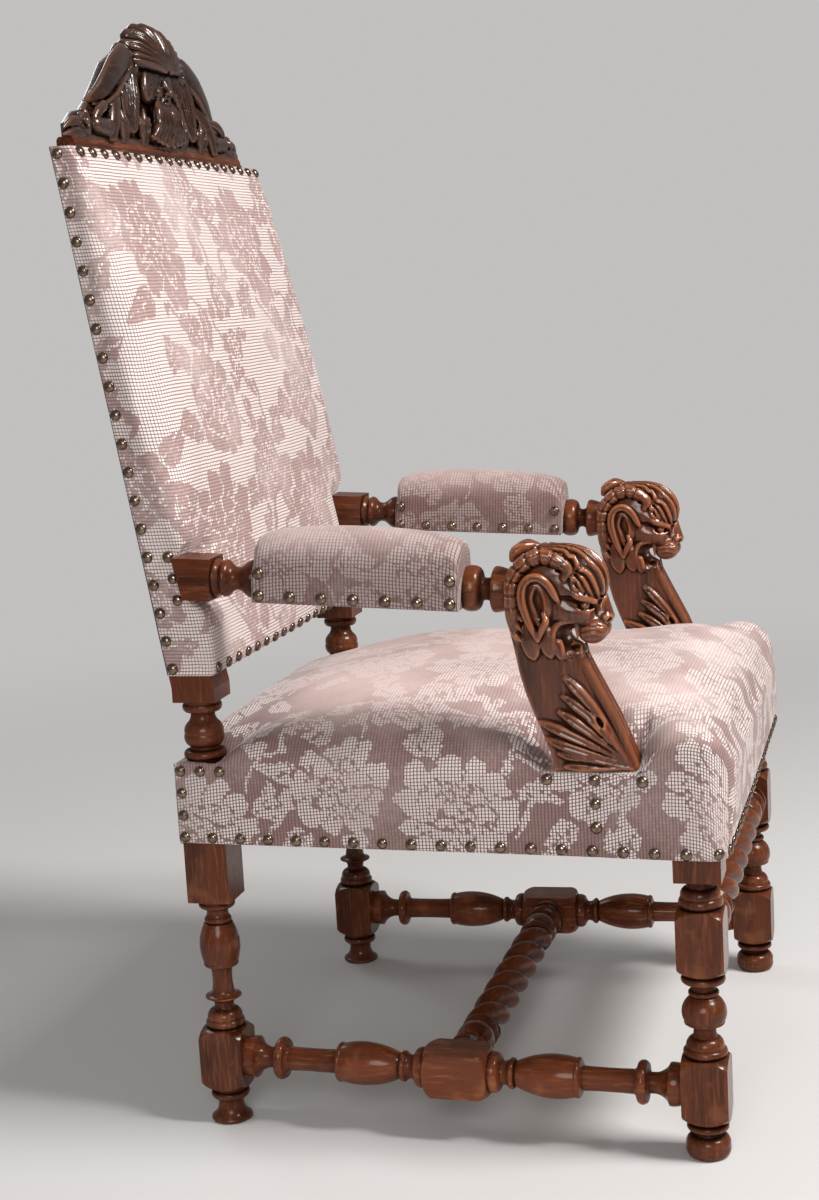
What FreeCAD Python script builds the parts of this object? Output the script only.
import FreeCAD, Part
import math
import os
from FreeCAD import Matrix, Placement, Rotation, Vector

# Ceremonial armchair with turned legs, rope-twist stretchers, carved lion-head arm supports,
# a carved crest and nailed velvet upholstery. Millimetres, +Z up, the sitter faces -Y.
# The origin is on the floor, in the middle of the overall width and depth.

# Stance: the leg axes on the floor, and the stock that the legs are turned from
leg_square = 50.0
front_leg_spacing = 580.0
rear_leg_spacing = 536.0
leg_depth_spacing = 551.0

# Heights above the floor
lower_stretcher_z = 76.0
upper_stretcher_z = 240.0
joint_block_height = 72.0
front_plinth_z = 308.0
rear_plinth_z = 264.0
seat_rail_bottom_z = 334.0
seat_rail_height = 92.0
post_turning_height = 69.0
post_bend_rise = 16.0
post_top_z = 1105.0

# Back: how far the faces of the raked posts move back between the bend and the top
post_front_lean = 121.0
post_rear_lean = 92.0
back_rail_depth = 62.0
back_rail_thickness = 18.0
back_rail_setback = 1.0
back_bottom_gap = 17.0
back_cover_gap = 15.0

# Seat rails and their joints
seat_rail_thickness = 28.0
tenon_thickness = 10.0
tenon_length = 22.0
tenon_shoulder = 12.0
mortise_slack = 1.0
peg_radius = 3.5
peg_slack = 0.1
peg_length = 38.0
corner_block_leg = 70.0
corner_block_height = 40.0

# Stretchers
stretcher_block_length = 75.0
stretcher_tenon_side = 18.0
twist_turns = 3.0
twist_strand_radius = 13.0
twist_strand_offset = 9.5
twist_web = 9.6
twist_end_length = 92.0

# Arms, at the sitter's left; the right arm is its mirror image
arm_head_set = 187.5
arm_front_z = 617.0
arm_rear_z = 635.0
arm_collar_length = 48.0
arm_collar_radius = 24.5
arm_cup_radius = 21.0
arm_turning_length = 53.0
arm_block_side = 46.0
arm_bed_width = 60.0
arm_bed_thickness = 30.0
arm_bed_drop = 20.0
arm_pad_length = 226.0
arm_pad_crown = 62.0
arm_pad_shoulder = 34.0
arm_pad_overhang = 5.0
arm_tenon_width = 12.0
arm_tenon_height = 26.0
arm_head_tenon = 16.0

# Arm supports with their lion heads, placed from the back of the head on the arm's axis
support_thickness = 40.0
support_foot_length = 86.0
support_foot_set = 42.0
support_waist_share = 0.24
support_throat_share = 0.62
support_neck_share = 0.45
support_tenon_length = 60.0
support_tenon_depth = 30.0
support_tenon_width = 12.0
head_height = 92.0
head_width = 62.0
head_length = 102.0
ear_height = 48.0
ear_width = 26.0
ear_depth = 9.0
mouth_radius = 9.5
mouth_depth = 12.0

# Crest
crest_base_height = 12.0
crest_base_depth = 22.0
crest_half_width = 268.0
crest_thickness = 16.0
crest_height = 158.0
crest_relief = 10.0
crest_rake = 7.0
crest_flute_count = 6
crest_flute_radius = 8.0
crest_scroll_radius = 18.0
crest_setback = 3.0
crest_dowel_radius = 5.0
crest_dowel_length = 40.0
crest_dowel_x = 150.0

# Upholstery
cover_thickness = 4.0
seat_edge_rise = 14.0
seat_front_rise = 18.0
seat_crown_rise = 71.0
seat_roundness = 0.45
arm_pad_roundness = 0.62
back_roundness = 0.6
cut_out_clearance = 1.0
webbing_width = 52.0
webbing_thickness = 2.0
seat_webbing_count = 4
back_webbing_across_count = 5
back_webbing_upright_count = 3
webbing_margin = 20.0
webbing_edge_share = 0.4
back_webbing_edge_share = 0.6
hessian_thickness = 1.2
spring_rise = 26.0
spring_rows = 3
spring_spacing = 145.0
spring_radius = 40.0
spring_waist = 28.0
spring_wire_radius = 2.0
spring_turns = 5
spring_clearance = 0.3
dome_shoulder_inset = 48.0
dome_shoulder_share = 0.62
dome_top_inset = 84.0
back_cover_thickness = 3.0
back_edge_depth = 10.0
back_crown_depth = 32.0
outside_back_thickness = 2.0
arm_cover_thickness = 2.0

# Domed upholstery nails
nail_radius = 5.6
nail_height = 3.6
nail_pitch = 32.5
nail_margin = 8.0
corner_nail_share = 0.75
nail_seat = 0.3

# Places worked out from the sizes above
half_square = leg_square / 2
front_leg_x = front_leg_spacing / 2
rear_leg_x = rear_leg_spacing / 2
seat_rail_top_z = seat_rail_bottom_z + seat_rail_height
post_bend_z = seat_rail_top_z + post_turning_height + post_bend_rise
front_reach = half_square + cover_thickness + nail_height
crest_lean = math.radians(crest_rake)
crest_reach = (post_front_lean - half_square + crest_setback + crest_thickness * math.cos(crest_lean)
               + (crest_height - crest_base_height) * math.sin(crest_lean))
rear_reach = max(half_square + post_rear_lean + outside_back_thickness, crest_reach)
overall_depth = front_reach + leg_depth_spacing + rear_reach
front_leg_y = front_reach - overall_depth / 2
rear_leg_y = front_leg_y + leg_depth_spacing
seat_front_y = front_leg_y - half_square - cover_thickness
seat_rear_y = rear_leg_y + half_square + cover_thickness
block_low_z = lower_stretcher_z - joint_block_height / 2
block_high_z = lower_stretcher_z + joint_block_height / 2
upper_block_low_z = upper_stretcher_z - joint_block_height / 2
upper_block_high_z = upper_stretcher_z + joint_block_height / 2

# Turned outlines, read from the bottom up. A step is (rise, reach, swell): the rise is a share of
# the stretch that the steps fill, and reach and swell are shares of half the square. A swell above
# nought is a round moulding, and one below nought is a hollow.
SQUARE = 1.45
BLOCK_ENTRY = 0.86
BLOCK_STEPS = [(13, SQUARE, 0.10), (46, SQUARE, 0), (13, 0.88, 0.10)]
HALF_BLOCK = (SQUARE, [(24, SQUARE, 0), (13, 0.88, 0.10)])
BUN_FOOT = (0.84, [
    (11, 0.95, 0.06), (12, 0.62, 0.14), (3, 0.56, 0), (2, 0.74, 0), (8, 0.76, 0.16), (3, 0.86, 0)])
BELL_FOOT = (0.88, [
    (4, 0.92, 0.04), (14, 0.58, -0.10), (4, 0.60, 0), (2, 0.74, 0), (8, 0.76, 0.14), (4, 0.86, 0)])
FRONT_TURNING = (0.80, [
    (9, 0.82, 0.14), (12, 0.54, 0.10), (13, 0.50, -0.04), (1, 0.80, 0), (3, 0.86, 0.04),
    (26, 0.64, 0.20), (2, 0.56, 0), (6, 0.56, 0.10), (6, 0.58, -0.06), (2, 0.80, 0), (9, 0.82, 0.14),
    (2, 0.86, 0)])
FRONT_COLLAR = (0.82, [
    (11, 0.84, 0.12), (11, 0.62, 0.10), (5, 0.62, -0.04), (5, 0.88, -0.06)])
REAR_TURNING = (0.80, [
    (9, 0.80, 0.10), (11, 0.54, 0.10), (6, 0.46, -0.05), (7, 0.80, -0.08), (2, 0.80, 0.03),
    (7, 0.50, -0.08), (26, 0.52, -0.06), (1, 0.74, 0), (4, 0.78, 0.04), (44, 0.66, 0.20),
    (1, 0.56, 0), (6, 0.56, 0.06), (9, 0.52, -0.05), (2, 0.74, 0), (6, 0.80, 0.06), (4, 0.92, -0.04)])
POST_TURNING = (0.84, [
    (2, 0.84, 0), (9, 0.84, 0.13), (1, 0.66, 0), (3, 0.66, 0), (14, 0.88, 0.12), (11, 0.74, 0.06),
    (12, 0.55, -0.07), (1, 0.78, 0), (9, 0.84, 0.08), (4, 0.92, -0.02)])
STRETCHER_TURNING = (0.86, [
    (12, 0.94, 0.04), (15, 0.46, -0.12), (4, 0.46, 0), (3, 0.86, -0.05), (9, 0.86, 0.10),
    (4, 0.54, -0.05), (50, 0.54, -0.02), (2, 0.80, 0), (5, 0.86, 0.06), (58, 0.60, 0.22),
    (3, 0.52, 0), (5, 0.66, 0.10), (8, 0.54, -0.06), (3, 0.80, 0), (9, 0.88, 0.06)])
TWIST_END = (0.84, [
    (11, 0.90, 0.06), (9, 0.52, -0.10), (4, 0.80, 0), (7, 0.84, 0.10), (8, 0.52, -0.06),
    (3, 0.66, 0), (36, 0.66, 0.24), (4, 0.80, 0), (8, 0.80, 0.08), (2, 0.70, 0)])

# Turnings of the arm, as (place, reach): the place is a share of the turning's length, counted in
# parts up to the last place, and the reach is a share of its radius
ARM_COLLAR = [
    (0, 0.86), (1.6, 0.98), (2.6, 0.98), (3.2, 0.56), (4.6, 0.52), (5.2, 0.86), (6.6, 1.0), (8, 0.92)]
ARM_CUP = [
    (0, 0.80), (5, 0.98), (11, 1.0), (17, 0.84), (24, 0.62), (30, 0.62), (35, 0.80), (38, 0.94), (43, 0.94),
    (45, 0.86), (50, 0.98), (53, 0.98)]

# Half the upper edge of the crest's board, end to middle, as shares of its half width and its height
CREST_EDGE = [
    (1.0, -0.04), (0.98, 0.20), (0.88, 0.24), (0.78, 0.34), (0.66, 0.44), (0.50, 0.70), (0.30, 0.80),
    (0.15, 0.94), (0.0, 1.0)]

# Where the sections of a stuffed form are taken, as shares of its length: closer at the rounded ends
PAD_STATIONS = [0, 0.02, 0.06, 0.13, 0.25, 0.5, 0.75, 0.87, 0.94, 0.98, 1]
SEAT_STATIONS = [0, 0.01, 0.03, 0.07, 0.14, 0.25, 0.4, 0.55, 0.7, 0.83, 0.93, 1]
BACK_STATIONS = [0, 0.015, 0.05, 0.12, 0.25, 0.5, 0.75, 0.88, 0.95, 0.985, 1]


def box(x0, x1, y0, y1, z0, z1):
    """A block between two corners."""
    return Part.makeBox(x1 - x0, y1 - y0, z1 - z0, Vector(x0, y0, z0))


def mirrored(shape):
    """The same piece for the other side of the chair."""
    return shape.mirror(Vector(0, 0, 0), Vector(1, 0, 0))


def prism(points, direction):
    """A flat outline drawn through points, pushed along direction."""
    return Part.Face(Part.makePolygon(points + points[:1])).extrude(direction)


def bowed_edge(a, b, swell):
    """An edge from a to b in the XZ plane: straight, or an arc that stands off by swell."""
    if abs(swell) < 1e-6:
        return Part.makeLine(a, b)
    run = b - a
    outward = Vector(run.z, 0, -run.x).normalize()
    return Part.Arc(a, (a + b) * 0.5 + outward * swell, b).toShape()


def turned_edges(z0, z1, turning, start=None):
    """Edges of a turned outline that fills the stretch from z0 to z1, and its last point."""
    reach, steps = turning
    scale = (z1 - z0) / sum(step[0] for step in steps)
    here = Vector(reach * half_square, 0, z0)
    edges = []
    if start is not None and (here - start).Length > 1e-6:
        edges.append(Part.makeLine(start, here))
    for rise, reach, swell in steps:
        there = Vector(reach * half_square, 0, here.z + rise * scale)
        edges.append(bowed_edge(here, there, swell * half_square))
        here = there
    return edges, here


def turned(stretches):
    """A turning about Z from stretches of (z0, z1, outline), stacked from the bottom up."""
    bottom = Vector(0, 0, stretches[0][0])
    edges = []
    here = bottom
    for z0, z1, turning in stretches:
        added, here = turned_edges(z0, z1, turning, here)
        edges += added
    top = Vector(0, 0, here.z)
    edges += [Part.makeLine(here, top), Part.makeLine(top, bottom)]
    return Part.Face(Part.Wire(edges)).revolve(Vector(0, 0, 0), Vector(0, 0, 1), 360)


def squared(shape, height):
    """A turning cut from square stock, so that its wide stretches are square blocks."""
    return shape.common(box(-half_square, half_square, -half_square, half_square, -height, height))


def block_turning(entry):
    """A joint block: square, with its shoulders turned down to the mouldings beside it."""
    return entry, BLOCK_STEPS


def square_stretch():
    """Square stock left unturned."""
    return SQUARE, [(1, SQUARE, 0)]


def peg(at, direction):
    """A peg driven in at a point of a leg's face."""
    return Part.makeCylinder(peg_radius, peg_length, at, direction)


def peg_hole(at, direction):
    """The hole that a peg is driven into."""
    return Part.makeCylinder(peg_radius + peg_slack, peg_length, at, direction)


# Joints: each tenon is a block that the piece carries and its neighbour has a mortise for

def seat_tenon_span():
    """Bottom and top of every seat rail tenon."""
    return seat_rail_bottom_z + tenon_shoulder, seat_rail_top_z - tenon_shoulder


def cross_rail_tenon(leg_x, rail_middle_y, slack=0.0):
    """Tenon of the front or rear seat rail into the left leg, along X."""
    low, high = seat_tenon_span()
    inner = leg_x - half_square
    return box(inner - slack, inner + tenon_length + slack, rail_middle_y - tenon_thickness / 2,
               rail_middle_y + tenon_thickness / 2, low, high)


def side_rail_x(y):
    """Outer face of the left seat rail, which runs from leg to leg at a slant."""
    front_face = front_leg_y + half_square
    rear_face = rear_leg_y - half_square
    share = (y - front_face) / (rear_face - front_face)
    return front_leg_x + half_square + share * (rear_leg_x - front_leg_x)


def side_rail_tenon(at_front, slack=0.0):
    """Tenon of the left seat rail into the front or rear leg, along Y."""
    low, high = seat_tenon_span()
    face = front_leg_y + half_square if at_front else rear_leg_y - half_square
    reach = -tenon_length if at_front else tenon_length
    away = slack if at_front else -slack
    middle = side_rail_x(face) - seat_rail_thickness / 2
    y0, y1 = sorted([face + away, face + reach - away])
    return box(middle - tenon_thickness / 2, middle + tenon_thickness / 2, y0, y1, low, high)


def stretcher_tenon(x, y, z, along_x, slack=0.0):
    """Square tenon of a stretcher, centred on a face point and running both ways along X or Y."""
    side = stretcher_tenon_side / 2
    reach = tenon_length + slack
    if along_x:
        return box(x - reach, x + reach, y - side, y + side, z - side, z + side)
    return box(x - side, x + side, y - reach, y + reach, z - side, z + side)


def leg_pegs():
    """Face points and directions of the pegs that lock the left stretcher joints."""
    inward = Vector(-1, 0, 0)
    backward = Vector(0, 1, 0)
    front_tenon_y = front_leg_y + half_square - tenon_length / 2
    rear_tenon_y = rear_leg_y - half_square + tenon_length / 2
    return {
        "front_low": (Vector(front_leg_x + half_square, front_tenon_y, lower_stretcher_z), inward),
        "rear_low": (Vector(rear_leg_x + half_square, rear_tenon_y, lower_stretcher_z), inward),
        "front_high": (Vector(front_leg_x - half_square + tenon_length / 2,
                              front_leg_y - half_square, upper_stretcher_z), backward),
    }


# Legs and posts

def front_leg():
    """Left front leg: bun foot, two joint blocks with a turning between, and a square top."""
    leg = squared(turned([
        (0, block_low_z, BUN_FOOT),
        (block_low_z, block_high_z, block_turning(BLOCK_ENTRY)),
        (block_high_z, upper_block_low_z, FRONT_TURNING),
        (upper_block_low_z, upper_block_high_z, block_turning(BLOCK_ENTRY)),
        (upper_block_high_z, front_plinth_z, FRONT_COLLAR),
        (front_plinth_z, seat_rail_top_z, square_stretch()),
    ]), post_top_z)
    leg.translate(Vector(front_leg_x, front_leg_y, 0))
    front_rail_y = front_leg_y - half_square + seat_rail_thickness / 2
    pegs = leg_pegs()
    return leg.cut([
        cross_rail_tenon(front_leg_x, front_rail_y, mortise_slack),
        side_rail_tenon(True, mortise_slack),
        stretcher_tenon(front_leg_x, front_leg_y + half_square, lower_stretcher_z, False, mortise_slack),
        stretcher_tenon(front_leg_x - half_square, front_leg_y, upper_stretcher_z, True, mortise_slack),
        peg_hole(*pegs["front_low"]),
        peg_hole(*pegs["front_high"]),
    ])


def post_front_y(z):
    """Front face of the raked post at a height."""
    share = (z - post_bend_z) / (post_top_z - post_bend_z)
    return rear_leg_y - half_square + max(0.0, share) * post_front_lean


def post_rear_y(z):
    """Rear face of the raked post at a height."""
    share = (z - post_bend_z) / (post_top_z - post_bend_z)
    return rear_leg_y + half_square + max(0.0, share) * post_rear_lean


def post_stile():
    """Raked upper part of the left post, which thins towards the crest."""
    foot = seat_rail_top_z + post_turning_height
    x0 = rear_leg_x - half_square
    outline = [Vector(x0, y, z) for y, z in [
        (rear_leg_y - half_square, foot), (rear_leg_y + half_square, foot),
        (rear_leg_y + half_square, post_bend_z), (post_rear_y(post_top_z), post_top_z),
        (post_front_y(post_top_z), post_top_z), (rear_leg_y - half_square, post_bend_z)]]
    return prism(outline, Vector(leg_square, 0, 0))


def rear_post():
    """Left rear post: one stick from the floor to the crest."""
    foot = squared(turned([
        (0, block_low_z, BELL_FOOT),
        (block_low_z, block_high_z, block_turning(BLOCK_ENTRY)),
        (block_high_z, rear_plinth_z, REAR_TURNING),
        (rear_plinth_z, seat_rail_top_z, square_stretch()),
        (seat_rail_top_z, seat_rail_top_z + post_turning_height, POST_TURNING),
    ]), post_top_z)
    foot.translate(Vector(rear_leg_x, rear_leg_y, 0))
    post = foot.fuse(post_stile()).removeSplitter()
    rear_rail_y = rear_leg_y + half_square - seat_rail_thickness / 2
    return post.cut([
        cross_rail_tenon(rear_leg_x, rear_rail_y, mortise_slack),
        side_rail_tenon(False, mortise_slack),
        stretcher_tenon(rear_leg_x, rear_leg_y - half_square, lower_stretcher_z, False, mortise_slack),
        peg_hole(*leg_pegs()["rear_low"]),
        back_tenon(True, mortise_slack),
        back_tenon(False, mortise_slack),
        arm_rear_tenon(mortise_slack),
    ])


# Stretchers

def lying(shape, x, y, z, direction):
    """A turning made about Z, laid down so that its axis runs along a level direction."""
    up = Vector(0, 0, 1)
    laid = shape.copy()
    laid.Placement = Placement(Vector(x, y, z), Rotation(up.cross(direction), up, direction, "ZYX"))
    return laid


def side_stretcher():
    """Left stretcher from front to rear leg, with a block in the middle for the cross stretcher."""
    run = Vector(rear_leg_x - front_leg_x, leg_depth_spacing, 0)
    half_block = stretcher_block_length / 2
    end = run.Length / 2
    half_turning = lying_half(half_block, end)
    stick = half_turning.fuse(half_turning.mirror(Vector(0, 0, 0), Vector(0, 0, 1))).removeSplitter()
    middle_x = (front_leg_x + rear_leg_x) / 2
    middle_y = (front_leg_y + rear_leg_y) / 2
    laid = lying(stick, middle_x, middle_y, lower_stretcher_z, run)
    reach = front_leg_spacing
    between = box(0, reach, front_leg_y + half_square, rear_leg_y - half_square, 0, reach)
    laid = laid.common(between)
    ends = [
        tenon_half(front_leg_x, front_leg_y + half_square, -1),
        tenon_half(rear_leg_x, rear_leg_y - half_square, 1),
    ]
    pegs = leg_pegs()
    inner_x = middle_x - half_square
    mortise = stretcher_tenon(inner_x, middle_y, lower_stretcher_z, True, mortise_slack)
    return laid.fuse(ends).removeSplitter().cut(
        [mortise, peg_hole(*pegs["front_low"]), peg_hole(*pegs["rear_low"])])


def lying_half(half_block, end):
    """Upper half of a stretcher standing on its middle: half the block, then the turning."""
    reach, steps = STRETCHER_TURNING
    outline = reversed_turning(reach, steps)
    half = turned([
        (0, half_block, HALF_BLOCK),
        (half_block, end - half_square, outline),
        (end - half_square, end, (BLOCK_ENTRY, [(1, BLOCK_ENTRY, 0)])),
    ])
    return squared(half, end)


def reversed_turning(reach, steps):
    """The same turning read from its other end."""
    reaches = [reach] + [step[1] for step in steps]
    flipped = [(steps[i][0], reaches[i], steps[i][2]) for i in range(len(steps) - 1, -1, -1)]
    return reaches[-1], flipped


def tenon_half(x, y, way):
    """A side stretcher's tenon past the face of a leg, way -1 forward or 1 back."""
    side = stretcher_tenon_side / 2
    y0, y1 = sorted([y, y + way * tenon_length])
    return box(x - side, x + side, y0, y1, lower_stretcher_z - side, lower_stretcher_z + side)


def strand_section(z):
    """Cross-section of the rope twist: two round strands side by side, joined by a narrow web."""
    offset = twist_strand_offset
    join = offset - math.sqrt(twist_strand_radius ** 2 - twist_web ** 2)
    outer = offset + twist_strand_radius
    right = [Vector(join, twist_web, z), Vector(outer, 0, z), Vector(join, -twist_web, z)]
    left = [Vector(-p.x, -p.y, z) for p in right]
    return Part.Wire([
        Part.Arc(right[0], right[1], right[2]).toShape(),
        Part.makeLine(right[2], left[0]),
        Part.Arc(left[0], left[1], left[2]).toShape(),
        Part.makeLine(left[2], right[0]),
    ])


def rope_twist(z0, z1):
    """Two strands wound round each other from z0 to z1."""
    length = z1 - z0
    spine = Part.Wire(Part.makeLine(Vector(0, 0, z0), Vector(0, 0, z1)))
    guide = Part.makeHelix(length / twist_turns, length, twist_strand_radius + twist_strand_offset)
    guide.translate(Vector(0, 0, z0))
    sweep = Part.BRepOffsetAPI.MakePipeShell(spine)
    sweep.setAuxiliarySpine(Part.Wire(guide.Edges), True, 0)
    sweep.add(strand_section(z0))
    sweep.build()
    sweep.makeSolid()
    return sweep.shape()


def twisted_body(length):
    """A cross stretcher standing on its middle: turned ends, with a rope twist between them."""
    half = length / 2
    reach, steps = TWIST_END
    lower = turned([(-half, -half + twist_end_length, TWIST_END)])
    upper = turned([(half - twist_end_length, half, reversed_turning(reach, steps))])
    twist = rope_twist(-half + twist_end_length, half - twist_end_length)
    return twist.fuse([lower, upper]).removeSplitter()


def cross_tenons(length, y, z):
    """Tenons at both ends of a cross stretcher of a given length between its shoulders."""
    side = stretcher_tenon_side / 2
    inner = length / 2 - twist_end_length / 2
    tenon = box(inner, length / 2 + tenon_length, y - side, y + side, z - side, z + side)
    return [tenon, mirrored(tenon)]


def side_block_room():
    """Space taken by the middle block of the left side stretcher and everything outside it."""
    run = Vector(rear_leg_x - front_leg_x, leg_depth_spacing, 0)
    reach = stretcher_block_length
    room = box(-half_square, reach, -reach, reach, -reach, reach)
    turn = math.degrees(math.atan2(-run.x, run.y))
    middle = Vector((front_leg_x + rear_leg_x) / 2, (front_leg_y + rear_leg_y) / 2, lower_stretcher_z)
    room.Placement = Placement(middle, Rotation(Vector(0, 0, 1), turn))
    return room


def middle_stretcher():
    """Rope-twist stretcher between the blocks of the two side stretchers."""
    length = front_leg_x + rear_leg_x - leg_square
    middle_y = (front_leg_y + rear_leg_y) / 2
    body = lying(twisted_body(length), 0, middle_y, lower_stretcher_z, Vector(1, 0, 0))
    room = side_block_room()
    body = body.cut([room, mirrored(room)])
    return body.fuse(cross_tenons(length, middle_y, lower_stretcher_z)).removeSplitter()


def front_stretcher():
    """Rope-twist stretcher between the upper blocks of the front legs."""
    length = front_leg_spacing - leg_square
    body = lying(twisted_body(length), 0, front_leg_y, upper_stretcher_z, Vector(1, 0, 0))
    hole = peg_hole(*leg_pegs()["front_high"])
    stick = body.fuse(cross_tenons(length, front_leg_y, upper_stretcher_z)).removeSplitter()
    return stick.cut([hole, mirrored(hole)])


# Seat frame

def cross_rail(leg_x, outer_y, way):
    """Front or rear seat rail between two legs, way 1 where its thickness runs back."""
    low, high = seat_rail_bottom_z, seat_rail_top_z
    y0, y1 = sorted([outer_y, outer_y + way * seat_rail_thickness])
    inner = leg_x - half_square
    rail = box(-inner, inner, y0, y1, low, high)
    tenon = cross_rail_tenon(leg_x, (y0 + y1) / 2)
    return rail.fuse([tenon, mirrored(tenon)]).removeSplitter()


def side_rail():
    """Left seat rail, slanted from the wider front to the narrower rear."""
    front_face = front_leg_y + half_square
    rear_face = rear_leg_y - half_square
    inner = seat_rail_thickness
    outline = [Vector(side_rail_x(y) - inset, y, seat_rail_bottom_z) for y, inset in [
        (front_face, 0), (rear_face, 0), (rear_face, inner), (front_face, inner)]]
    rail = prism(outline, Vector(0, 0, seat_rail_height))
    rail = rail.fuse([side_rail_tenon(True), side_rail_tenon(False)]).removeSplitter()
    return rail.cut(support_tenon(mortise_slack))


def corner_block(leg_x, leg_y, way):
    """Triangular glue block in an inner corner of the seat frame, way 1 at the front."""
    x = leg_x - half_square
    y = leg_y + way * half_square
    outer = side_rail_x(y) - seat_rail_thickness
    rail_y = leg_y - way * half_square + way * seat_rail_thickness
    far_y = y + way * corner_block_leg
    far_outer = side_rail_x(far_y) - seat_rail_thickness
    z = seat_rail_top_z - corner_block_height - tenon_shoulder
    outline = [Vector(px, py, z) for px, py in [
        (outer, y), (far_outer, far_y), (x - corner_block_leg, rail_y), (x, rail_y), (x, y)]]
    return prism(outline, Vector(0, 0, corner_block_height))


# Back frame

def back_rail_span(at_top):
    """Bottom and top of the upper or the lower rail of the back."""
    if at_top:
        return post_top_z - back_rail_depth, post_top_z
    low = post_bend_z + back_bottom_gap
    return low, low + back_rail_depth


def back_rail(at_top):
    """Rail between the raked posts, parallel to their front faces."""
    low, high = back_rail_span(at_top)
    x = rear_leg_x - half_square
    outline = [Vector(-x, post_front_y(z) + back_rail_setback + depth, z) for z, depth in [
        (low, 0), (high, 0), (high, back_rail_thickness), (low, back_rail_thickness)]]
    rail = prism(outline, Vector(2 * x, 0, 0))
    tenon = back_tenon(at_top)
    hole = crest_dowel(peg_slack, mortise_slack)
    return rail.fuse([tenon, mirrored(tenon)]).removeSplitter().cut([hole, mirrored(hole)])


def back_tenon(at_top, slack=0.0):
    """Tenon of a back rail into the left post, raked as the rail is."""
    low, high = back_rail_span(at_top)
    low, high = low + tenon_shoulder, high - tenon_shoulder
    x0 = rear_leg_x - half_square - slack
    front = back_rail_setback + (back_rail_thickness - tenon_thickness) / 2
    outline = [Vector(x0, post_front_y(z) + front + depth, z) for z, depth in [
        (low, 0), (high, 0), (high, tenon_thickness), (low, tenon_thickness)]]
    return prism(outline, Vector(tenon_length + 2 * slack, 0, 0))


# Arms

def arm_front():
    """Where the left arm's axis meets the lion's head, whose foot is flush with the seat's cover."""
    y = front_leg_y + arm_head_set
    foot_y = y - support_foot_set - support_foot_length / 2
    return Vector(side_rail_x(foot_y) + cover_thickness - support_thickness / 2, y, arm_front_z)


def on_arm(shape):
    """A piece modelled along +Y, set on the left arm's axis, which ends at the post's outer face."""
    front = arm_front()
    along = Vector(rear_leg_x + half_square - front.x, arm_axis_length(), arm_rear_z - arm_front_z)
    across = along.cross(Vector(0, 0, 1))
    placed = shape.copy()
    turn = Placement(front, Rotation(across, along, across.cross(along), "YXZ"))
    placed.Placement = turn.multiply(placed.Placement)
    return placed


def arm_axis_length():
    """Length of an arm from the lion's head to the front of its square block."""
    return arm_collar_length + arm_pad_length + arm_turning_length


def arm_collar():
    """Two ringed collars with a neck, where the arm meets the lion's head."""
    part = arm_collar_length / ARM_COLLAR[-1][0]
    return revolved_along_y([(place * part, reach * arm_collar_radius) for place, reach in ARM_COLLAR])


def arm_turning():
    """Cup, neck and rings between the pad and the square block at the back."""
    part = arm_turning_length / ARM_CUP[-1][0]
    start = arm_collar_length + arm_pad_length
    return revolved_along_y([(start + place * part, reach * arm_cup_radius) for place, reach in ARM_CUP])


def revolved_along_y(points):
    """A turning about Y through (y, radius) points, smoothed between its ends."""
    curve = Part.BSplineCurve()
    curve.interpolate([Vector(r, y, 0) for y, r in points])
    first, last = points[0], points[-1]
    wire = Part.Wire([
        Part.makeLine(Vector(0, first[0], 0), Vector(first[1], first[0], 0)),
        curve.toShape(),
        Part.makeLine(Vector(last[1], last[0], 0), Vector(0, last[0], 0)),
        Part.makeLine(Vector(0, last[0], 0), Vector(0, first[0], 0)),
    ])
    return Part.Face(wire).revolve(Vector(0, 0, 0), Vector(0, 1, 0), 360)


def arm_bed():
    """Flat bed of the arm that the pad is stuffed on."""
    half = arm_bed_width / 2
    return box(-half, half, arm_collar_length, arm_collar_length + arm_pad_length,
               -arm_bed_drop, arm_bed_thickness - arm_bed_drop)


def behind_post_face():
    """Everything behind the front face of the left post, for ends that butt against it."""
    reach = front_leg_spacing
    outline = [Vector(0, y, z) for y, z in [
        (post_front_y(post_bend_z), post_bend_z), (post_front_y(post_top_z), post_top_z),
        (post_front_y(post_top_z) + reach, post_top_z), (post_front_y(post_bend_z) + reach, post_bend_z)]]
    return prism(outline, Vector(reach, 0, 0))


def arm_block():
    """Square block at the rear of the left arm, cut to the rake of the post."""
    half = arm_block_side / 2
    start = arm_axis_length()
    block = box(-half, half, start, start + 2 * arm_block_side, -half, half)
    return on_arm(block).cut(behind_post_face())


def arm_rear_tenon(slack=0.0):
    """Tenon of the left arm into the front of the post, level and along Y."""
    x = rear_leg_x + half_square - arm_tenon_width - tenon_shoulder / 2
    y = post_front_y(arm_rear_z) - arm_block_side / 2
    high = arm_tenon_height / 2
    return box(x, x + arm_tenon_width, y, y + arm_block_side / 2 + tenon_length + slack,
               arm_rear_z - high, arm_rear_z + high)


def arm_head_peg(slack=0.0):
    """Square tenon at the front of the arm, let into the back of the lion's head."""
    half = arm_head_tenon / 2
    return on_arm(box(-half, half, -tenon_length - slack, arm_collar_length / 2, -half, half))


def arm():
    """Left arm in one piece: collars, bed, turned neck, square block and a tenon at each end."""
    body = on_arm(arm_collar().fuse([arm_bed(), arm_turning()]))
    return body.fuse([arm_block(), arm_rear_tenon(), arm_head_peg()]).removeSplitter()


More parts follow.
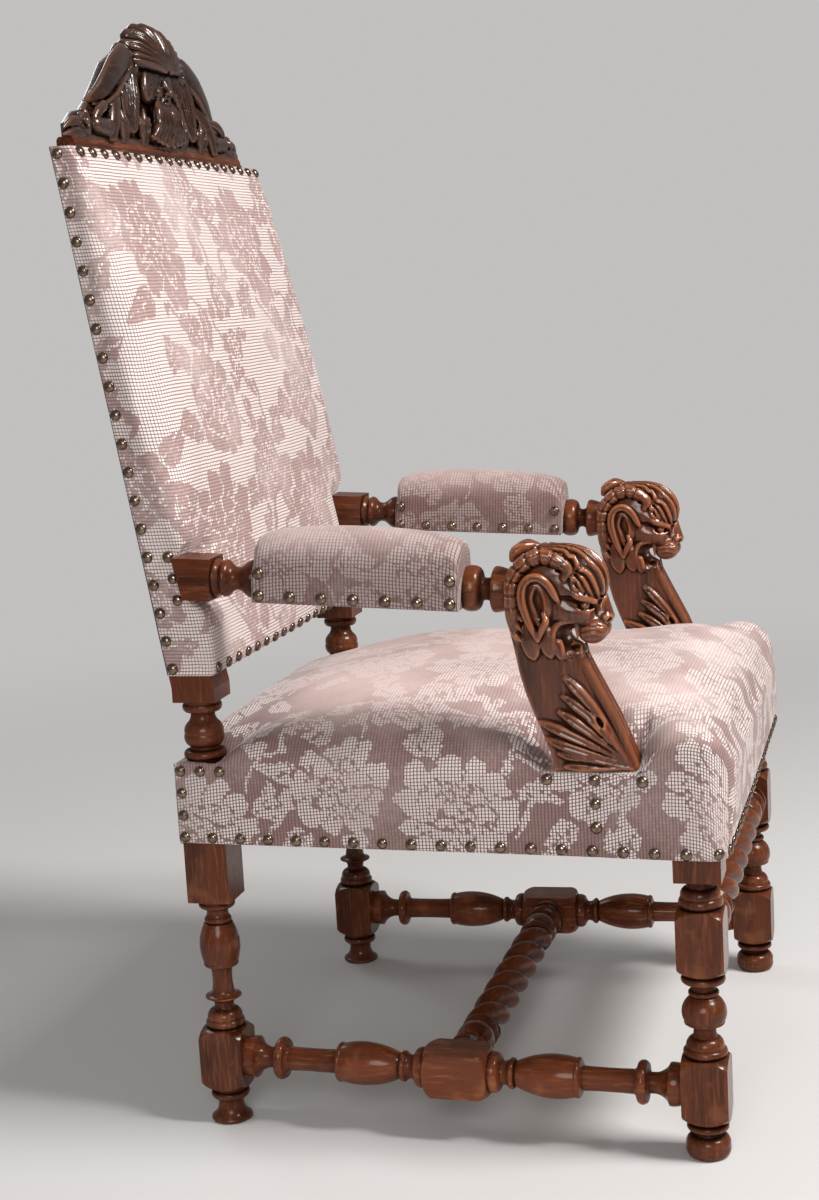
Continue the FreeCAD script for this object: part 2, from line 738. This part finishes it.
def arch(half_width, side_z, crown_z, floor_z, y, roundness):
    """Section of a stuffed piece at y: upright sides, round shoulders and a crowned top."""
    rise = crown_z - side_z
    shoulder = roundness * rise
    inner = half_width - shoulder
    crown = (inner ** 2 + rise ** 2 - shoulder ** 2) / (2 * (rise - shoulder))
    middle = Vector(0, y, crown_z - crown)
    hub = Vector(inner, y, side_z)
    out = (hub - middle).normalize()
    meet = hub + out * shoulder
    bend = (out + Vector(1, 0, 0)).normalize()
    knee = hub + bend * shoulder
    right = [Vector(half_width, y, floor_z), Vector(half_width, y, side_z), knee, meet]
    left = [Vector(-p.x, y, p.z) for p in right]
    return Part.Wire([
        Part.makeLine(left[0], right[0]),
        Part.makeLine(right[0], right[1]),
        Part.Arc(right[1], right[2], right[3]).toShape(),
        Part.Arc(right[3], Vector(0, y, crown_z), left[3]).toShape(),
        Part.Arc(left[3], left[2], left[1]).toShape(),
        Part.makeLine(left[1], left[0]),
    ])


def end_round(share, run, low):
    """Height of a rounded end at a share of the length: a quarter circle from low up to 1 over a run."""
    inside = min(1.0, share / run)
    return low + (1 - low) * math.sqrt(1 - (1 - inside) ** 2)


def arm_pad_form(margin):
    """Outside of the arm's pad, drawn in by margin, in the arm's own frame."""
    half = arm_bed_width / 2 + arm_pad_overhang - margin
    start = arm_collar_length + margin
    length = arm_pad_length - 2 * margin
    sections = []
    for share in PAD_STATIONS:
        swell = end_round(min(share, 1 - share), 0.5, 0.55) ** 0.5
        side = arm_pad_shoulder * swell - margin
        crown = arm_pad_crown * swell - margin
        sections.append(arch(half, side, crown, -arm_bed_drop, start + share * length, arm_pad_roundness))
    return Part.makeLoft(sections, True, False)


def arm_stuffing():
    """Stuffing of the left arm pad, on top of the bed and down its sides."""
    inner = arm_pad_form(arm_cover_thickness)
    return on_arm(inner.cut(arm_bed()))


def arm_cover():
    """Velvet cover of the left arm pad, nailed along the lower edge of the bed."""
    inner = arm_pad_form(arm_cover_thickness)
    below = box(-arm_bed_width, arm_bed_width, 0, 2 * arm_pad_length, -2 * arm_bed_drop, -arm_bed_drop)
    wood = [arm_bed(), arm_collar(), arm_turning()]
    return on_arm(arm_pad_form(0).cut([inner, below] + wood))


# Arm supports

def support_places():
    """Back of the head, foot heel and foot toe of the arm support, along Y."""
    back = arm_front().y
    heel = back - support_foot_set
    return back, heel, heel - support_foot_length


def support_shaft(x0, x1, grow=0.0):
    """Sweeping shaft of the support between two planes of constant X, grown by a margin."""
    back, heel, toe = support_places()
    foot_z = seat_rail_top_z
    neck_z = arm_front_z - support_neck_share * head_height
    rise = neck_z - foot_z
    waist = Vector(x0, back - support_waist_share * support_foot_set + grow, foot_z + rise / 2)
    heel_edge = [Vector(x0, back + grow, neck_z), waist, Vector(x0, heel + grow, foot_z)]
    throat_y = back - support_throat_share * head_length - grow
    toe_edge = [Vector(x0, toe - grow, foot_z), Vector(x0, throat_y, neck_z)]
    wire = Part.Wire([
        Part.Arc(heel_edge[0], heel_edge[1], heel_edge[2]).toShape(),
        Part.makeLine(heel_edge[2], toe_edge[0]),
        Part.makeLine(toe_edge[0], toe_edge[1]),
        Part.makeLine(toe_edge[1], heel_edge[0]),
    ])
    return Part.Face(wire).extrude(Vector(x1 - x0, 0, 0))


def support_tenon(slack=0.0):
    """Tenon under the foot of the left arm support, let into the seat rail."""
    heel, toe = support_places()[1:]
    middle = (heel + toe) / 2
    half = support_tenon_length / 2
    x = side_rail_x(middle) - seat_rail_thickness / 2
    return box(x - support_tenon_width / 2, x + support_tenon_width / 2, middle - half, middle + half,
               seat_rail_top_z - support_tenon_depth - slack, seat_rail_top_z)


def egg(centre, radii, tilt=0.0):
    """An egg-shaped mass with radii along X, Y and Z, tipped about X."""
    stretch = Matrix()
    stretch.scale(Vector(*radii))
    shape = Part.makeSphere(1.0).transformGeometry(stretch)
    shape.Placement = Placement(centre, Rotation(Vector(1, 0, 0), tilt))
    return shape


def lion_head():
    """Main masses of the left lion's head: skull, brow, muzzle, jaw and ears, with an open mouth."""
    back = arm_front().y
    z = arm_front_z
    half = head_width / 2
    length = head_length
    height = head_height

    def at(forward, up, x=0.0):
        return Vector(arm_front().x + x, back - forward * length, z + up * height)

    masses = [
        egg(at(0.44, 0.0), (half, 0.46 * length, 0.50 * height)),
        egg(at(0.72, 0.10), (0.86 * half, 0.27 * length, 0.17 * height), 30),
        egg(at(0.82, -0.24), (0.62 * half, 0.19 * length, 0.20 * height)),
        egg(at(0.66, -0.62), (0.50 * half, 0.20 * length, 0.15 * height), -25),
        egg(at(0.40, -0.46), (0.80 * half, 0.34 * length, 0.34 * height)),
    ]
    ears = [egg(at(0.40, -0.14, side * 0.92 * half), (ear_depth, ear_width / 2, ear_height / 2), -14)
            for side in (-1, 1)]
    mouths = []
    for side in (-1, 1):
        corner = at(0.68, -0.45, side * 0.52 * half)
        mouths.append(Part.makeCylinder(mouth_radius, mouth_depth, corner, Vector(side, 0, 0)))
    head = masses[0].fuse(masses[1:] + ears)
    return head.cut(mouths)


def arm_support():
    """Left arm support: lion's head, sweeping shaft and a tenon under the foot."""
    half = support_thickness / 2
    shaft = support_shaft(arm_front().x - half, arm_front().x + half)
    body = shaft.fuse([lion_head(), support_tenon()])
    behind = on_arm(box(-leg_square, leg_square, 0, leg_square, -head_height, head_height))
    return body.cut([behind, arm_head_peg(mortise_slack)])


# Crest

def crest_dowel(slack=0.0, end=0.0):
    """Dowel across the joint between the crest and the upper rail of the back, or with slack its hole."""
    y = post_front_y(post_top_z) + back_rail_setback + back_rail_thickness / 2
    foot = Vector(crest_dowel_x, y, post_top_z - crest_dowel_length / 2 - end)
    return Part.makeCylinder(crest_dowel_radius + slack, crest_dowel_length + 2 * end, foot)


def crest_board():
    """Scrolled board of the crest, standing on z = 0 with its front on y = 0."""
    w = crest_half_width
    h = crest_height - crest_base_height
    rise = [Vector(x * w, crest_relief, z * h) for x, z in CREST_EDGE]
    curve = Part.BSplineCurve()
    curve.interpolate(rise + [Vector(-p.x, p.y, p.z) for p in reversed(rise[:-1])])
    foot = Part.makeLine(Vector(-rise[0].x, rise[0].y, rise[0].z), rise[0])
    face = Part.Face(Part.Wire([curve.toShape(), foot]))
    return face.extrude(Vector(0, crest_thickness - crest_relief, 0))


def crest_scroll(side):
    """End scroll of the crest with its eye standing proud."""
    at = Vector(side * (crest_half_width - crest_scroll_radius), 0, crest_scroll_radius * 0.8)
    back = Vector(0, 1, 0)
    proud = at - back * (crest_relief * 0.25)
    eye = Part.makeCylinder(crest_scroll_radius * 0.45, crest_relief, proud, back)
    return [Part.makeCylinder(crest_scroll_radius, crest_thickness, at, back), eye]


def crest_flutes(side):
    """Fan of tapering flutes between the mask and the end scroll."""
    w = crest_half_width
    h = crest_height - crest_base_height
    flutes = []
    for i in range(crest_flute_count):
        share = i / (crest_flute_count - 1)
        top = Vector(side * w * (0.24 + 0.30 * share), crest_relief * 0.8, h * (0.66 - 0.25 * share))
        foot = Vector(side * w * (0.28 + 0.44 * share), crest_relief * 0.8, 0)
        run = top - foot
        flutes.append(Part.makeCone(crest_flute_radius * 0.6, crest_flute_radius, run.Length, foot, run))
    return flutes


def crest_mask():
    """Masses of the bearded mask in the middle, with its ribbed hood curling forward over it."""
    w = crest_half_width
    h = crest_height - crest_base_height
    return [
        egg(Vector(0, crest_relief * 0.5, 0.40 * h), (0.13 * w, 1.1 * crest_relief, 0.34 * h)),
        egg(Vector(0, crest_relief * 0.3, 0.84 * h), (0.18 * w, 1.5 * crest_relief, 0.15 * h), 20),
    ]


def crest():
    """Crest in one piece: a level base under a raked board with scrolls, flutes and a mask."""
    front = post_front_y(post_top_z) + crest_setback
    base = box(-crest_half_width, crest_half_width, front, front + crest_base_depth,
               post_top_z, post_top_z + crest_base_height)
    carving = crest_mask()
    for side in (-1, 1):
        carving += crest_scroll(side) + crest_flutes(side)
    body = crest_board().fuse(carving)
    foot = Vector(0, front, post_top_z + crest_base_height)
    body.Placement = Placement(foot, Rotation(Vector(1, 0, 0), -crest_rake))
    far = 2 * crest_half_width
    below = box(-far, far, -far, far, 0, post_top_z + crest_base_height / 2)
    hole = crest_dowel(peg_slack, mortise_slack)
    return base.fuse(body.cut(below)).removeSplitter().cut([hole, mirrored(hole)])


# Upholstery of the seat

def seat_half_width(y):
    """Half the width over the seat cover, which follows the slanted side rails."""
    return side_rail_x(y) + cover_thickness


def seat_edge(share):
    """Height of the seat's side above the rails, front to rear, with a dip at the arm supports."""
    dip = math.exp(-((share - 0.24) / 0.10) ** 2)
    fall = max(0.0, (share - 0.6) / 0.4)
    front = max(0.0, 1 - share / 0.3)
    return seat_edge_rise * (1 - 0.35 * dip - 0.75 * fall) + (seat_front_rise - seat_edge_rise) * front


def seat_crown(share):
    """Height of the seat's middle above the rails, from the rolled front edge to the low rear."""
    fall = max(0.0, (share - 0.5) / 0.5)
    dip = max(0.0, 1 - share / 0.4)
    return seat_crown_rise * end_round(share, 0.12, 0.62) * (1 - 0.76 * fall ** 2.4 - 0.26 * dip ** 2)


def seat_form(margin):
    """Outside of the stuffed seat, drawn in by margin, from the rails up to the crown."""
    depth = seat_rear_y - seat_front_y
    sections = []
    for share in SEAT_STATIONS:
        y = seat_front_y + margin + share * (depth - 2 * margin)
        side = seat_rail_top_z + seat_edge(share) - margin
        crown = seat_rail_top_z + seat_crown(share) - margin
        floor = seat_rail_bottom_z - margin
        sections.append(arch(seat_half_width(y) - margin, side, crown, floor, y, seat_roundness))
    return Part.makeLoft(sections, True, False)


def seat_cut_outs():
    """Room for the posts and arm supports, which the cover and stuffing are cut away from."""
    clear = cut_out_clearance
    far = front_leg_spacing
    top = seat_rail_top_z + 2 * seat_crown_rise
    corner = box(rear_leg_x - half_square - clear, far, rear_leg_y - half_square - clear, far,
                 seat_rail_top_z, top)
    post = box(rear_leg_x - half_square, rear_leg_x + half_square, rear_leg_y - half_square,
               rear_leg_y + half_square, 0, top)
    half = support_thickness / 2
    foot = support_shaft(arm_front().x - half - clear, far, clear)
    rooms = [corner, post, foot]
    return rooms + [mirrored(room) for room in rooms]


def seat_cover():
    """Velvet over the seat and down the rails, cut round the posts and the arm supports."""
    return seat_form(0).cut([seat_form(cover_thickness)] + seat_cut_outs())


def spring_dome(margin):
    """Space over the springs, drawn in by margin: the rails' inner edge rising to a flat top."""
    def ring(inset, z):
        front = front_leg_y - half_square + seat_rail_thickness / 2 + inset + margin
        rear = rear_leg_y + half_square - seat_rail_thickness / 2 - inset - margin
        half_front = side_rail_x(front) - seat_rail_thickness / 2 - inset - margin
        half_rear = side_rail_x(rear) - seat_rail_thickness / 2 - inset - margin
        points = [Vector(-half_front, front, z), Vector(half_front, front, z), Vector(half_rear, rear, z),
                  Vector(-half_rear, rear, z)]
        return Part.makePolygon(points + points[:1])

    base = seat_rail_top_z - margin
    rings = [ring(0, base), ring(dome_shoulder_inset, base + dome_shoulder_share * spring_rise),
             ring(dome_top_inset, base + spring_rise)]
    return Part.makeLoft(rings, True, True)


def seat_stuffing():
    """Stuffing between the canvas over the springs and the cover."""
    far = 2 * front_leg_spacing
    below = box(-far, far, -far, far, 0, seat_rail_top_z)
    return seat_form(cover_thickness).cut([below, spring_dome(0)] + seat_cut_outs())


def seat_hessian():
    """Canvas stretched over the springs, on the tops of the rails."""
    far = 2 * front_leg_spacing
    below = box(-far, far, -far, far, 0, seat_rail_top_z)
    return spring_dome(0).cut([spring_dome(hessian_thickness), below] + seat_cut_outs())


def spring_span():
    """Heights of the wire's middle at the foot and the top of a spring."""
    rest = spring_wire_radius + spring_clearance
    return seat_rail_bottom_z + rest, seat_rail_top_z + spring_rise - hessian_thickness - rest


def spring_point(turn):
    """Middle of the wire after a number of turns: wide at both ends and drawn in at the waist."""
    foot, top = spring_span()
    share = turn / spring_turns
    radius = spring_radius - (spring_radius - spring_waist) * math.sin(math.pi * share)
    angle = 2 * math.pi * turn
    return Vector(radius * math.cos(angle), radius * math.sin(angle), foot + share * (top - foot))


def spring_heading(turn):
    """Direction in which the wire runs after a number of turns."""
    step = 1e-4
    return (spring_point(turn + step) - spring_point(turn - step)).normalize()


def tangent_arc(start, corner, end):
    """Arc from start to end that touches both legs of a corner."""
    middle = (start + end) * 0.5
    lean = (start - middle).Length / (start - corner).Length
    return Part.Arc(start, middle + (corner - middle) * (lean / (1 + lean)), end).toShape()


def arc_pair(start, heading, end, end_heading):
    """Two arcs that leave start along heading and reach end along end_heading, smooth where they meet."""
    across = end - start
    both = heading + end_heading
    spare = 4 - both.dot(both)
    pull = across.dot(both)
    reach = (math.sqrt(pull ** 2 + spare * across.dot(across)) - pull) / spare
    corner = start + heading * reach
    end_corner = end - end_heading * reach
    meet = (corner + end_corner) * 0.5
    return [tangent_arc(start, corner, meet), tangent_arc(meet, end_corner, end)]


def spring():
    """One waisted coil spring, standing on the webbing."""
    edges = []
    for quarter in range(4 * spring_turns):
        turn = quarter / 4
        after = (quarter + 1) / 4
        edges += arc_pair(spring_point(turn), spring_heading(turn),
                          spring_point(after), spring_heading(after))
    wire = Part.Wire(Part.makeCircle(spring_wire_radius, spring_point(0), spring_heading(0)))
    return Part.Wire(edges).makePipeShell([wire], True, False)


def spring_gap():
    """Least clear space between neighbouring turns of a spring."""
    samples = 24
    points = [spring_point(i / samples) for i in range(samples * spring_turns + 1)]
    apart = [(points[i + samples] - points[i]).Length for i in range(len(points) - samples)]
    return min(apart) - 2 * spring_wire_radius


def seat_springs():
    """Grid of springs under the middle of the seat."""
    one = spring()
    middle = (front_leg_y + rear_leg_y) / 2
    half = (spring_rows - 1) / 2
    springs = []
    for i in range(spring_rows):
        for j in range(spring_rows):
            copy = one.copy()
            copy.translate(Vector((i - half) * spring_spacing, middle + (j - half) * spring_spacing, 0))
            springs.append(copy)
    return Part.makeCompound(springs)


def spread(count, spacing):
    """Evenly spaced places about nought."""
    return [(i - (count - 1) / 2) * spacing for i in range(count)]


def seat_webbing_lengthwise():
    """Straps from the front rail to the rear rail, tacked under both."""
    y0 = front_leg_y - half_square + seat_rail_thickness - webbing_margin
    y1 = rear_leg_y + half_square - seat_rail_thickness + webbing_margin
    pitch = (rear_leg_spacing - leg_square) / (seat_webbing_count + webbing_edge_share)
    top = seat_rail_bottom_z
    return Part.makeCompound([
        box(x - webbing_width / 2, x + webbing_width / 2, y0, y1, top - webbing_thickness, top)
        for x in spread(seat_webbing_count, pitch)])


def seat_webbing_crosswise():
    """Straps from side rail to side rail, under the lengthwise ones."""
    middle = (front_leg_y + rear_leg_y) / 2
    pitch = (leg_depth_spacing - leg_square) / (seat_webbing_count + webbing_edge_share)
    top = seat_rail_bottom_z - webbing_thickness
    straps = []
    for y in spread(seat_webbing_count, pitch):
        half = side_rail_x(middle + y) - seat_rail_thickness + webbing_margin
        straps.append(box(-half, half, middle + y - webbing_width / 2, middle + y + webbing_width / 2,
                          top - webbing_thickness, top))
    return Part.makeCompound(straps)


# Upholstery of the back

def back_plan(half_width, edge_y, crown_y, rear_y, z):
    """Level section of the back's pad: a flat rear, straight sides and a crowned front."""
    wire = arch(half_width, -edge_y, -crown_y, -rear_y, 0, back_roundness)
    turn = Placement(Vector(0, 0, z), Rotation(Vector(1, 0, 0), 90))
    level = wire.copy()
    level.Placement = turn
    return level


def back_span():
    """Bottom and top of the back's cover."""
    return post_bend_z + back_cover_gap, post_top_z


def back_form(margin, rear_room):
    """Outside of the stuffed back, drawn in by margin and carried back by rear_room."""
    low, high = back_span()
    half = rear_leg_x + half_square + back_cover_thickness - margin
    sections = []
    for share in BACK_STATIONS:
        z = low + share * (high - low)
        swell = end_round(min(share, 1 - share), 0.5, 0.0)
        edge = back_cover_thickness + (back_edge_depth - back_cover_thickness) * swell
        crown = edge + 1 + (back_crown_depth - back_edge_depth) * swell
        front = post_front_y(z) + margin
        sections.append(back_plan(half, front - edge, front - crown, post_rear_y(z) + rear_room, z))
    return Part.makeLoft(sections, True, False)


def back_sheet(offset, thickness, x, low, high):
    """A flat layer over the front of the back's frame, offset forward of the posts."""
    outline = [Vector(-x, post_front_y(z) - offset - depth, z) for z, depth in [
        (low, 0), (high, 0), (high, thickness), (low, thickness)]]
    return prism(outline, Vector(2 * x, 0, 0))


def back_cut_outs():
    """Room for the blocks of the arms, which the back's cover and stuffing are cut away from."""
    clear = cut_out_clearance
    half = arm_block_side / 2 + clear
    start = arm_axis_length()
    room = on_arm(box(-half, half, start - leg_square, start + 2 * arm_block_side, -half, half))
    room = room.cut(behind_post_face())
    return [room, mirrored(room)]


def back_cover():
    """Velvet over the front and sides of the back, open behind."""
    return back_form(0, 0).cut([back_form(back_cover_thickness, leg_square)] + back_cut_outs())


def back_layer_depth():
    """Thickness of the webbing and canvas under the stuffing of the back."""
    return 2 * webbing_thickness + hessian_thickness


def back_stuffing():
    """Stuffing of the back, between the canvas and the cover."""
    low, high = back_span()
    far = front_leg_spacing
    spare = back_cover_gap / 2
    behind = [Vector(-far, post_front_y(z) - back_layer_depth() + depth, z) for z, depth in [
        (low - spare, 0), (high + spare, 0), (high + spare, far), (low - spare, far)]]
    room = prism(behind, Vector(2 * far, 0, 0))
    return back_form(back_cover_thickness, leg_square).cut([room] + back_cut_outs())


def back_webbing_across():
    """Straps across the back from post to post."""
    low, high = back_span()
    x = rear_leg_x - half_square + webbing_margin
    pitch = (high - low) / (back_webbing_across_count + back_webbing_edge_share)
    middle = (low + high) / 2
    return Part.makeCompound([
        back_sheet(0, webbing_thickness, x, middle + z - webbing_width / 2, middle + z + webbing_width / 2)
        for z in spread(back_webbing_across_count, pitch)])


def back_webbing_upright():
    """Straps up the back from the lower to the upper rail, over the crossing ones."""
    low = back_rail_span(False)[0] + webbing_margin
    high = back_rail_span(True)[1] - webbing_margin
    pitch = (rear_leg_spacing - leg_square) / (back_webbing_upright_count + webbing_edge_share)
    straps = []
    for x in spread(back_webbing_upright_count, pitch):
        strap = back_sheet(webbing_thickness, webbing_thickness, webbing_width / 2, low, high)
        strap.translate(Vector(x, 0, 0))
        straps.append(strap)
    return Part.makeCompound(straps)


def back_hessian():
    """Canvas over the webbing of the back."""
    low = back_rail_span(False)[0] + tenon_shoulder
    high = back_rail_span(True)[1] - tenon_shoulder
    x = rear_leg_x - tenon_shoulder
    return back_sheet(2 * webbing_thickness, hessian_thickness, x, low, high)


def outside_back():
    """Cloth panel that closes the rear of the back, on the posts' rear faces."""
    low, high = back_span()
    x = rear_leg_x + half_square
    outline = [Vector(-x, post_rear_y(z) + depth, z) for z, depth in [
        (low, 0), (high, 0), (high, outside_back_thickness), (low, outside_back_thickness)]]
    return prism(outline, Vector(2 * x, 0, 0))


# Nails

def nail():
    """A domed nail head on the plane z = 0."""
    ball = (nail_radius ** 2 + nail_height ** 2) / (2 * nail_height)
    drop = ball - nail_height
    rim = math.degrees(math.asin(drop / ball))
    return Part.makeSphere(ball, Vector(0, 0, -drop), Vector(0, 0, 1), rim, 90, 360)


def nails_at(places):
    """Nail heads at (point, outward direction) places."""
    head = nail()
    heads = []
    for point, outward in places:
        copy = head.copy()
        copy.Placement = Placement(point, Rotation(Vector(0, 0, 1), outward))
        heads.append(copy)
    return heads


def nail_row(start, end, outward, skip_ends=False):
    """Places of evenly spaced nails from start to end, as near to the pitch as the run allows."""
    gaps = max(1, round((end - start).Length / nail_pitch))
    first = 1 if skip_ends else 0
    return [(start + (end - start) * (i / gaps), outward) for i in range(first, gaps + 1 - first)]


def both_sides(places):
    """Places on the left with their mirror images on the right."""
    flip = [(Vector(-p.x, p.y, p.z), Vector(-n.x, n.y, n.z)) for p, n in places]
    return places + flip


def seat_nails():
    """Nails along the lower edge of the seat, up its rear corners and round the arm supports."""
    z = seat_rail_bottom_z + nail_margin
    front = seat_front_y + nail_margin
    rear = seat_rear_y - nail_margin
    taper = seat_half_width(seat_front_y) - seat_half_width(seat_rear_y)
    slant = Vector(seat_rear_y - seat_front_y, taper, 0).normalize()
    top = seat_rail_top_z - nail_margin
    corner_y = rear_leg_y - half_square - cut_out_clearance
    heel, toe = support_places()[1:]
    middle = (heel + toe) / 2

    def on_side(y, height):
        return Vector(seat_half_width(y), y, height)

    places = nail_row(on_side(front, z), on_side(rear, z), slant)
    places += nail_row(on_side(rear, z), on_side(rear, top), slant)[1:]
    places += nail_row(on_side(rear, top), on_side(corner_y, top), slant)[1:]
    places += nail_row(on_side(middle, z), on_side(middle, top), slant)[1:]
    places += [(on_side(y, top), slant) for y in (heel + nail_margin, toe - nail_margin)]
    places = both_sides(places)
    for y, way in ((seat_front_y, -1), (seat_rear_y, 1)):
        half = seat_half_width(y) - nail_margin
        places += nail_row(Vector(-half, y, z), Vector(half, y, z), Vector(0, way, 0))
    return Part.makeCompound(nails_at(places))


def back_nails():
    """Nails down the sides of the back and along its top and bottom."""
    low, high = back_span()
    x = rear_leg_x + half_square + back_cover_thickness
    ends = [Vector(x, post_rear_y(z) - nail_margin, z) for z in (low + nail_margin, high - nail_margin)]
    places = both_sides(nail_row(ends[0], ends[1], Vector(1, 0, 0)))
    for z in (low + nail_margin, high - nail_margin):
        places += back_front_row(z)
    return Part.makeCompound(nails_at(places))


def back_front_row(z):
    """Nails across the front of the back at a height, square to the surface of the cover."""
    half = rear_leg_x + half_square - nail_margin
    step = nail_radius / 2
    here, above, below = [back_cover_face(level) for level in (z, z + step, z - step)]
    places = []
    for point, _ in nail_row(Vector(-half, 0, z), Vector(half, 0, z), Vector(0, -1, 0)):
        x = point.x
        across = (here(x + step) - here(x - step)) / (2 * step)
        upward = (above(x) - below(x)) / (2 * step)
        outward = Vector(across, -1, upward).normalize()
        places.append((Vector(x, here(x), z) + outward * nail_seat, outward))
    return places


def back_cover_face(z):
    """How far forward the back's cover stands at a height, across the width."""
    level = back_form(0, 0).slice(Vector(0, 0, 1), z)[0]

    def facing(x):
        probe = Part.makeLine(Vector(x, -overall_depth, z), Vector(x, post_front_y(z), z))
        return probe.distToShape(level)[1][0][0].y
    return facing


def arm_nails():
    """Nails along the lower edge of both arm covers and up their corners."""
    half = arm_bed_width / 2 + arm_pad_overhang
    start = arm_collar_length + nail_margin
    end = arm_collar_length + arm_pad_length - nail_margin
    z = nail_margin - arm_bed_drop
    up = z + corner_nail_share * nail_pitch
    places = []
    for side in (-1, 1):
        out = Vector(side, 0, 0)
        places += nail_row(Vector(side * half, start, z), Vector(side * half, end, z), out)
        places += [(Vector(side * half, y, up), out) for y in (start, end)]
    heads = [on_arm(head) for head in nails_at(places)]
    return Part.makeCompound(heads + [mirrored(head) for head in heads])


def joint_pegs():
    """Pegs that lock the stretchers into the legs."""
    pegs = [peg(*place) for place in leg_pegs().values()]
    return Part.makeCompound(pegs + [mirrored(p) for p in pegs])


def crest_dowels():
    """Two dowels that tie the crest to the upper rail of the back."""
    dowel = crest_dowel()
    return Part.makeCompound([dowel, mirrored(dowel)])


def corner_blocks():
    """Glue blocks in the four corners of the seat frame."""
    blocks = [corner_block(front_leg_x, front_leg_y, 1), corner_block(rear_leg_x, rear_leg_y, -1)]
    return Part.makeCompound(blocks + [mirrored(b) for b in blocks])


def pieces():
    """Every piece of the chair by name."""
    made = {}
    pairs = {
        "front_leg": front_leg(), "rear_post": rear_post(), "side_stretcher": side_stretcher(),
        "seat_rail": side_rail(), "arm": arm(), "arm_support": arm_support(),
        "arm_stuffing": arm_stuffing(), "arm_cover": arm_cover(),
    }
    for name, shape in pairs.items():
        made[name + "_left"] = shape
        made[name + "_right"] = mirrored(shape)
    made.update({
        "middle_stretcher": middle_stretcher(),
        "front_stretcher": front_stretcher(),
        "seat_rail_front": cross_rail(front_leg_x, front_leg_y - half_square, 1),
        "seat_rail_rear": cross_rail(rear_leg_x, rear_leg_y + half_square, -1),
        "seat_corner_blocks": corner_blocks(),
        "back_rail_top": back_rail(True),
        "back_rail_bottom": back_rail(False),
        "crest": crest(),
        "crest_dowels": crest_dowels(),
        "joint_pegs": joint_pegs(),
        "seat_webbing_lengthwise": seat_webbing_lengthwise(),
        "seat_webbing_crosswise": seat_webbing_crosswise(),
        "seat_springs": seat_springs(),
        "seat_hessian": seat_hessian(),
        "seat_stuffing": seat_stuffing(),
        "seat_cover": seat_cover(),
        "back_webbing_across": back_webbing_across(),
        "back_webbing_upright": back_webbing_upright(),
        "back_hessian": back_hessian(),
        "back_stuffing": back_stuffing(),
        "back_cover": back_cover(),
        "outside_back": outside_back(),
        "seat_nails": seat_nails(),
        "back_nails": back_nails(),
        "arm_nails": arm_nails(),
    })
    return made


def main():
    os.makedirs("parts", exist_ok=True)
    for name, shape in pieces().items():
        shape.exportStep(os.path.join("parts", name + ".step"))
    print("least gap between turns of a spring: %.1f mm" % spring_gap())


main()
